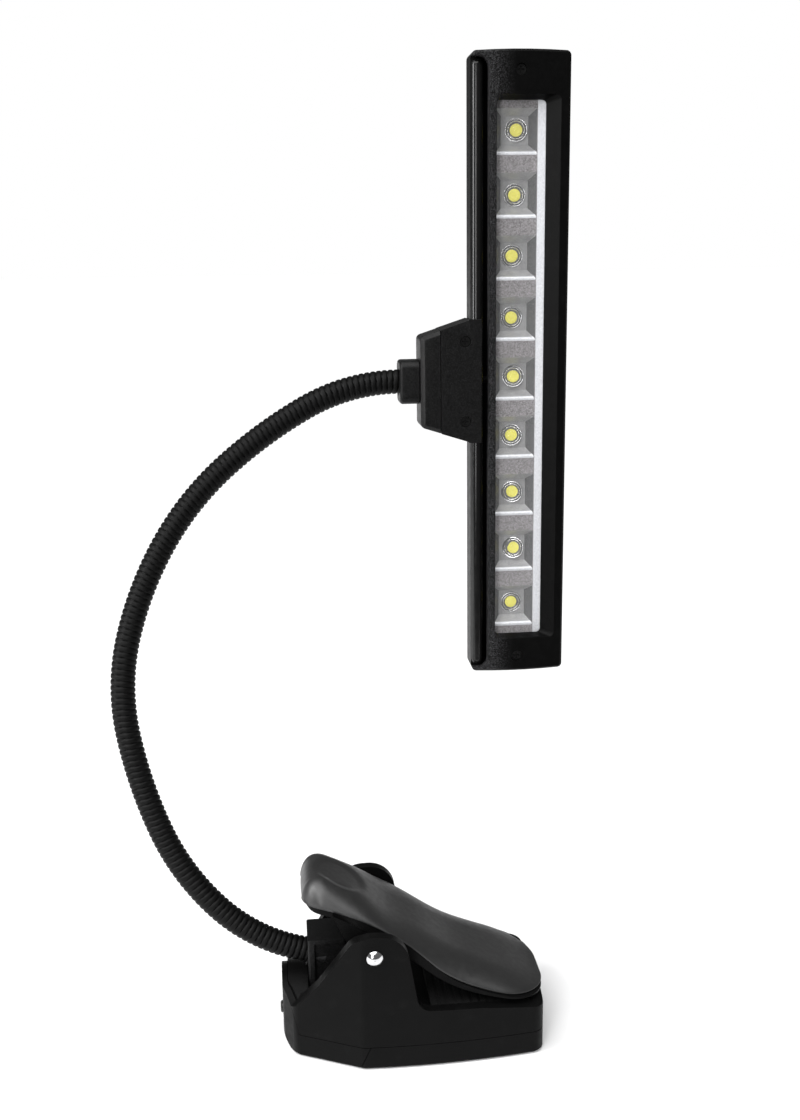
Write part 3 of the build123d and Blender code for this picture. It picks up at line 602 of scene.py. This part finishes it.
dish_x, dish_y, dish_length, dish_width, dish_depth = DISH
verts, faces = [], []
for x, y in outline:
    target = Vector((min(max(x, SPINE[0]), SPINE[1]), 0))
    for k in range(RINGS + 1):
        share = (k / RINGS) ** RING_CROWDING
        plan = Vector((x, y)).lerp(target, share)
        z = lever_height(plan.x, from_rim(plan.x, plan.y))
        reach = ((plan.x - dish_x) / dish_length) ** 2 + ((plan.y - dish_y) / dish_width) ** 2
        if reach < 1:
            z -= dish_depth * min(1.0, 2.2 * (1 - reach))
        verts.append((plan.x, plan.y, z))
for i in range(len(outline)):
    here = i * (RINGS + 1)
    after = (i + 1) % len(outline) * (RINGS + 1)
    for k in range(RINGS):
        faces.append((here + k, here + k + 1, after + k + 1, after + k))
lever = piece("lever_cover_crowned", verts, faces, "lever", None, ("lever_cover",), 50)
bm = bmesh.new()
bm.from_mesh(lever.data)
bmesh.ops.remove_doubles(bm, verts=bm.verts, dist=1e-5)
bmesh.ops.recalc_face_normals(bm, faces=bm.faces)
bm.to_mesh(lever.data)
bm.free()
thick = lever.modifiers.new("wall", "SOLIDIFY")
thick.thickness = COVER_WALL * MM
thick.offset = -1
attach(lever, "clip_lever")

# ---------------------------------------------------------------- rounded CAD mouldings
rounded("base_housing", 1.6, "base", "base", segments=4)
rounded("rear_bottom_cover", 0.5, "base", "base")
rounded("battery_door", 0.5, "battery_door", "base")
rounded("lever_frame", 0.35, "clip_lever", "base")
rounded("neck_socket", 0.6, "base", "fitting")
rounded("bracket_nose", 1.3, "head", "fitting", segments=4)
rounded("bracket_front", 1.3, "head", "fitting", segments=4)
rounded("front_bezel", 0.35, "head", "head")
rounded("neck_collar", 0.4, "head", "fitting")

# ---------------------------------------------------------------- reflector and LEDs
LED_COUNT = 9
LED_PITCH = 22.2
LED_X = 49.2
LED_Z = 241.2  # the middle LED's height
TRAY_FRONT = float(box_mm("reflector_tray")[0][1])
FLAT_DEPTH = 0.75
FLOOR_DEPTH = 4.3
POCKET_HALF = (7.7, 7.45)
FLOOR_HALF = (5.1, 5.0)
FLAT_ACROSS = (40.9, 57.1)
END_REACH = 13.4  # from the last LED at each end to the end of the reflector
POCKET_CORNER = 0.5
FLOOR_CORNER = 0.4
CELL_CORNER = 0.01
CUP_R = 4.2
CUP_DEPTH = 0.6
CORNER_STEPS = 7
CORNER_SKIP = 8  # degrees left out where two quarters of a circle meet
AROUND = 40
# Inset and depth of the points down each pocket's rolled lower edge.
LIP = ((-1.15, 0.0), (-0.60, 0.08), (-0.12, 0.30), (0.26, 0.72), (0.52, 1.25))


def rounded_ring(low, high, corner, y):
    """Points round a rectangle with rounded corners, in the plane at depth y."""
    points = []
    middles = [(high[0], high[1], 0), (low[0], high[1], 90), (low[0], low[1], 180), (high[0], low[1], 270)]
    for cx, cz, start in middles:
        middle_z = (low[1] + high[1]) / 2
        centre = (cx - math.copysign(corner, cx - LED_X), cz - math.copysign(corner, cz - middle_z))
        for n in range(CORNER_STEPS):
            a = math.radians(start + 90 * n / (CORNER_STEPS - 1))
            points.append((centre[0] + corner * math.cos(a), y, centre[1] + corner * math.sin(a)))
    return points


def circle_ring(cx, cz, radius, y):
    """The same number of points as rounded_ring, round a circle."""
    points = []
    for quarter in range(4):
        for n in range(CORNER_STEPS):
            share = n / (CORNER_STEPS - 1)
            a = math.radians(90 * quarter + CORNER_SKIP + (90 - 2 * CORNER_SKIP) * share)
            points.append((cx + radius * math.cos(a), y, cz + radius * math.sin(a)))
    return points


def stitch(rings):
    """Verts and faces of a surface through rings that all have the same number of points."""
    around = len(rings[0])
    verts = [point for ring in rings for point in ring]
    faces = []
    for i in range(len(rings) - 1):
        for k in range(around):
            q = (k + 1) % around
            faces.append((i * around + k, (i + 1) * around + k, (i + 1) * around + q, i * around + q))
    return verts, faces


flat_verts, flat_faces, pocket_verts, pocket_faces = [], [], [], []


def gather(verts, faces, into_verts, into_faces):
    base = len(into_verts)
    into_verts.extend(verts)
    into_faces.extend(tuple(base + k for k in face) for face in faces)


led_spots = []
flat = TRAY_FRONT + FLAT_DEPTH
floor_y = TRAY_FRONT + FLOOR_DEPTH
for n in range(LED_COUNT):
    z = LED_Z + LED_PITCH * (n - (LED_COUNT - 1) / 2)
    spot = (LED_X + random.uniform(-0.8, 0.6), z + random.uniform(-0.3, 0.3))
    led_spots.append(spot)
    cell_low = z - LED_PITCH / 2 if n else z - END_REACH
    cell_high = z + LED_PITCH / 2 if n < LED_COUNT - 1 else z + END_REACH
    side = [(POCKET_HALF[k] - FLOOR_HALF[k]) / (FLOOR_DEPTH - FLAT_DEPTH) for k in (0, 1)]
    rings = []
    for inset, depth in LIP:
        rings.append(
            rounded_ring(
                (LED_X - POCKET_HALF[0] + side[0] * depth, z - POCKET_HALF[1] + inset),
                (LED_X + POCKET_HALF[0] - side[0] * depth, z + POCKET_HALF[1] - side[1] * depth),
                POCKET_CORNER,
                flat + depth,
            )
        )
    floor_low = (LED_X - FLOOR_HALF[0], z - FLOOR_HALF[1])
    floor_high = (LED_X + FLOOR_HALF[0], z + FLOOR_HALF[1])
    rings.append(rounded_ring(floor_low, floor_high, FLOOR_CORNER, floor_y))
    rings.append(circle_ring(*spot, CUP_R, floor_y))
    rings.append(circle_ring(*spot, CUP_R, floor_y + CUP_DEPTH))
    gather(*stitch(rings), pocket_verts, pocket_faces)
    cell_corners = (FLAT_ACROSS[0], cell_low), (FLAT_ACROSS[1], cell_high)
    cell = rounded_ring(*cell_corners, CELL_CORNER, flat)
    gather(*stitch([cell, rings[0]]), flat_verts, flat_faces)
TRAY = ("reflector_tray",)
piece("reflector_flats", flat_verts, flat_faces, "mottled", "head", TRAY, 30)
pockets = piece(
    "reflector_pockets", pocket_verts, pocket_faces, "reflector", "head", TRAY, 30
)
pockets.data.materials.append(M["facet_side"])
pockets.data.materials.append(M["strip"])
LIP_LIMIT = (flat + 0.95) * MM  # the lips are the small faces in front of this
LIP_AREA = 2.4e-5  # square metres
for face in pockets.data.polygons:
    sideways, upright = abs(face.normal.x), abs(face.normal.z)
    nearest = min(led_spots, key=lambda spot: abs(spot[1] * MM - face.center.z))
    on_lip = upright > 0.1 and sideways < 0.3 and face.center.y < LIP_LIMIT and face.area < LIP_AREA
    # Side facets: the darker painted-shade silver.
    if sideways > 0.5:
        face.material_index = 1
    # Lower lips below each LED: the bright silver, a painted highlight.
    elif on_lip and face.center.z < nearest[1] * MM:
        face.material_index = 2

tray_low, tray_high = (float(corner[2]) for corner in box_mm("reflector_tray"))
# X and depth across the plain strip beside the pockets, from the flats to its folded edge.
margin = [(57.1, FLAT_DEPTH), (57.25, 0.72), (59.75, 0.10), (60.0, 0.05), (61.5, 0.05), (61.5, 1.0)]
strip_verts = [(x, TRAY_FRONT + depth, z) for z in (tray_low, tray_high) for x, depth in margin]
strip_faces = [(k, k + 1, k + 1 + len(margin), k + len(margin)) for k in range(len(margin) - 1)]
# The margin strip wears the bright silver, partly polished and partly a painted reflection.
piece("reflector_margin_painted_highlight", strip_verts, strip_faces, "strip", "head", TRAY, 30)


def turned(profile, tilt, centre):
    """A body of revolution about the depth axis, tilted a little as a hand-fitted LED is."""
    verts, faces = [], []
    spin = Matrix.Rotation(tilt[0], 3, "X") @ Matrix.Rotation(tilt[1], 3, "Z")
    for k in range(AROUND):
        a = 2 * math.pi * k / AROUND
        for radius, depth in profile:
            spoke = Vector((radius * math.cos(a), depth, radius * math.sin(a)))
            verts.append(Vector(centre) + spin @ spoke)
    rows = len(profile)
    for k in range(AROUND):
        q = (k + 1) % AROUND
        for j in range(rows - 1):
            faces.append((k * rows + j, k * rows + j + 1, q * rows + j + 1, q * rows + j))
    return verts, faces


def hoop(radius, depth, half_width, half_height):
    """The oval section of a ring, as a profile for turned()."""
    section = []
    for angle in range(0, 361, 30):
        a = math.radians(angle)
        section.append((radius + half_width * math.cos(a), depth + half_height * math.sin(a)))
    return section


# Radius and depth from the pocket's floor; depths below zero stand forward of it.
CUP_PROFILE = [
    (4.15, 0.9),
    (4.12, 0.10),
    (3.6, 0.35),
    (3.3, 0.20),
    (2.7, 0.30),
    (2.45, 0.55),
    (0.05, 0.62),
]
OUTER_RING = hoop(3.96, -0.05, 0.26, 0.24)
INNER_RING = hoop(3.12, -0.10, 0.18, 0.22)
PHOSPHOR_PROFILE = [(2.30, 0.5), (2.28, 0.22), (2.10, 0.06), (1.2, -0.02), (0.02, -0.04)]
DOME_PROFILE = [(3.62, -0.2)]
for angle in range(0, 90, 9):
    a = math.radians(angle)
    DOME_PROFILE.append((3.45 * math.cos(a), -0.35 - 1.75 * math.sin(a)))
DOME_PROFILE.append((0.02, -2.1))
groups = {
    "led_cups": (CUP_PROFILE, "cup", "led_domes"),
    "led_outer_rings": (OUTER_RING, "ring", "led_domes"),
    "led_inner_rings": (INNER_RING, "ring", "led_domes"),
    "led_phosphor": (PHOSPHOR_PROFILE, "phosphor", "led_chips"),
    "led_clear_domes": (DOME_PROFILE, "dome", "led_domes"),
}
tilts = [(random.uniform(-0.26, 0.26), random.uniform(-0.30, 0.18)) for _ in led_spots]
for name, (profile, material, node) in groups.items():
    verts, faces = [], []
    for (x, z), tilt in zip(led_spots, tilts):
        gather(*turned(profile, tilt, (x, floor_y, z)), verts, faces)
    piece(name, verts, faces, material, "head", (node,), 40)

# ---------------------------------------------------------------- glossy rail in the head's slot
RAIL = (34.5, float(box_mm("front_bezel")[0][1]) + 4.2)
RAIL_R = 2.34
SLOT_BOTTOM = 128.6
SLOT_TOP = 354.6
RAIL_GAP = 0.5
rail_low, rail_high = SLOT_BOTTOM + RAIL_GAP, SLOT_TOP - RAIL_GAP
rail_profile = [(0.5, 0.0), (1.2, 0.2), (1.8, 0.7), (2.2, 1.5), (RAIL_R, 2.4)]
levels = [(r, rail_low + d) for r, d in rail_profile]
levels += [(r, rail_high - d) for r, d in reversed(rail_profile)]
verts, faces = [], []
for r, z in levels:
    for k in range(AROUND):
        a = 2 * math.pi * k / AROUND
        verts.append((RAIL[0] + r * math.cos(a), RAIL[1] + r * math.sin(a), z))
for i in range(len(levels) - 1):
    here, after = i * AROUND, (i + 1) * AROUND
    for k in range(AROUND):
        q = (k + 1) % AROUND
        faces.append((here + k, here + q, after + q, after + k))
piece("rail_sleeve", verts, faces, "rail", "head", (), 50)

# ---------------------------------------------------------------- floor, light and camera
floor_mesh = bpy.data.meshes.new("floor")
REACH = 30.0  # metres
FLOOR_FRONT = -0.17  # metres; with no pale floor in front of this, the front faces stay black
floor_corners = [(-REACH, FLOOR_FRONT, 0), (REACH, FLOOR_FRONT, 0), (REACH, REACH, 0), (-REACH, REACH, 0)]
floor_mesh.from_pydata(floor_corners, [], [(0, 1, 2, 3)])
floor = bpy.data.objects.new("floor", floor_mesh)
bpy.context.collection.objects.link(floor)
s = Shader("floor_paper")
floor_mesh.materials.append(
    s.finish(
        color=s.tint(s.noise(40.0, 3.0), (0.86, 0.86, 0.865), (0.89, 0.89, 0.89)),
        roughness=s.spread(s.noise(3.0, 3.0), 0.85, 0.95),
        normal=s.bump(s.noise(0.8, 3.0), 0.02),
        Specular_IOR_Level=0.1,
    )
)

# The backdrop is white to the camera and much dimmer as a light, as in a cut-out product picture.
BACKDROP_SEEN = 1.0
BACKDROP_LIGHT = 0.16
world = bpy.data.worlds.new("studio")
bpy.context.scene.world = world
world.use_nodes = True
tree = world.node_tree
seen = tree.nodes["Background"]
seen.inputs["Color"].default_value = (1.0, 1.0, 1.0, 1)
seen.inputs["Strength"].default_value = BACKDROP_SEEN
dim = tree.nodes.new("ShaderNodeBackground")
dim.inputs["Color"].default_value = (1.0, 1.0, 1.0, 1)
dim.inputs["Strength"].default_value = BACKDROP_LIGHT
path = tree.nodes.new("ShaderNodeLightPath")
mixed = tree.nodes.new("ShaderNodeMixShader")
tree.links.new(path.outputs["Is Camera Ray"], mixed.inputs["Fac"])
tree.links.new(dim.outputs["Background"], mixed.inputs[1])
tree.links.new(seen.outputs["Background"], mixed.inputs[2])
tree.links.new(mixed.outputs["Shader"], tree.nodes["World Output"].inputs["Surface"])


def softbox(name, at, towards, size, power):
    """A rectangular area light, placed in millimetres."""
    light = bpy.data.lights.new(name, "AREA")
    light.shape = "RECTANGLE"
    light.size, light.size_y = size[0] * MM, size[1] * MM
    light.energy = power
    obj = bpy.data.objects.new(name, light)
    bpy.context.collection.objects.link(obj)
    obj.location = Vector(at) * MM
    obj.rotation_mode = "QUATERNION"
    obj.rotation_quaternion = (Vector(towards) - Vector(at)).to_track_quat("-Z", "Y")


sky = bpy.data.lights.new("sky", "SUN")
sky.energy = 3.7
sky.angle = math.radians(70)
sky_obj = bpy.data.objects.new("sky", sky)
bpy.context.collection.objects.link(sky_obj)
sky_obj.rotation_euler = (math.radians(24), math.radians(-12), 0)
softbox("key_left", (-300, -700, 300), (50, 30, 240), (170, 620), 2.4)
softbox("rim_left", (-620, -160, 420), (20, 0, 200), (200, 620), 4.5)

CAMERA_AT = (-41.38, -423.53, 284.21)
LENS = 40.08
PITCH = math.radians(13.44)
YAW = math.radians(5.64)
ROLL = math.radians(-0.8275)
level = Vector((math.sin(YAW), math.cos(YAW), 0))
right = Vector((math.cos(YAW), -math.sin(YAW), 0))
forward = level * math.cos(PITCH) - Vector((0, 0, math.sin(PITCH)))
up = level * math.sin(PITCH) + Vector((0, 0, math.cos(PITCH)))
cam_right = right * math.cos(ROLL) + up * math.sin(ROLL)
cam_up = up * math.cos(ROLL) - right * math.sin(ROLL)
camera_data = bpy.data.cameras.new("camera")
camera_data.lens = LENS
camera_data.sensor_width = 36.0
camera_data.sensor_fit = "AUTO"
camera = bpy.data.objects.new("camera", camera_data)
bpy.context.collection.objects.link(camera)
turn = Matrix((cam_right, cam_up, -forward)).transposed().to_4x4()
camera.matrix_world = Matrix.Translation(Vector(CAMERA_AT) * MM) @ turn
bpy.context.scene.camera = camera
bpy.context.scene.view_settings.view_transform = "Standard"
bpy.context.scene.view_settings.look = "None"
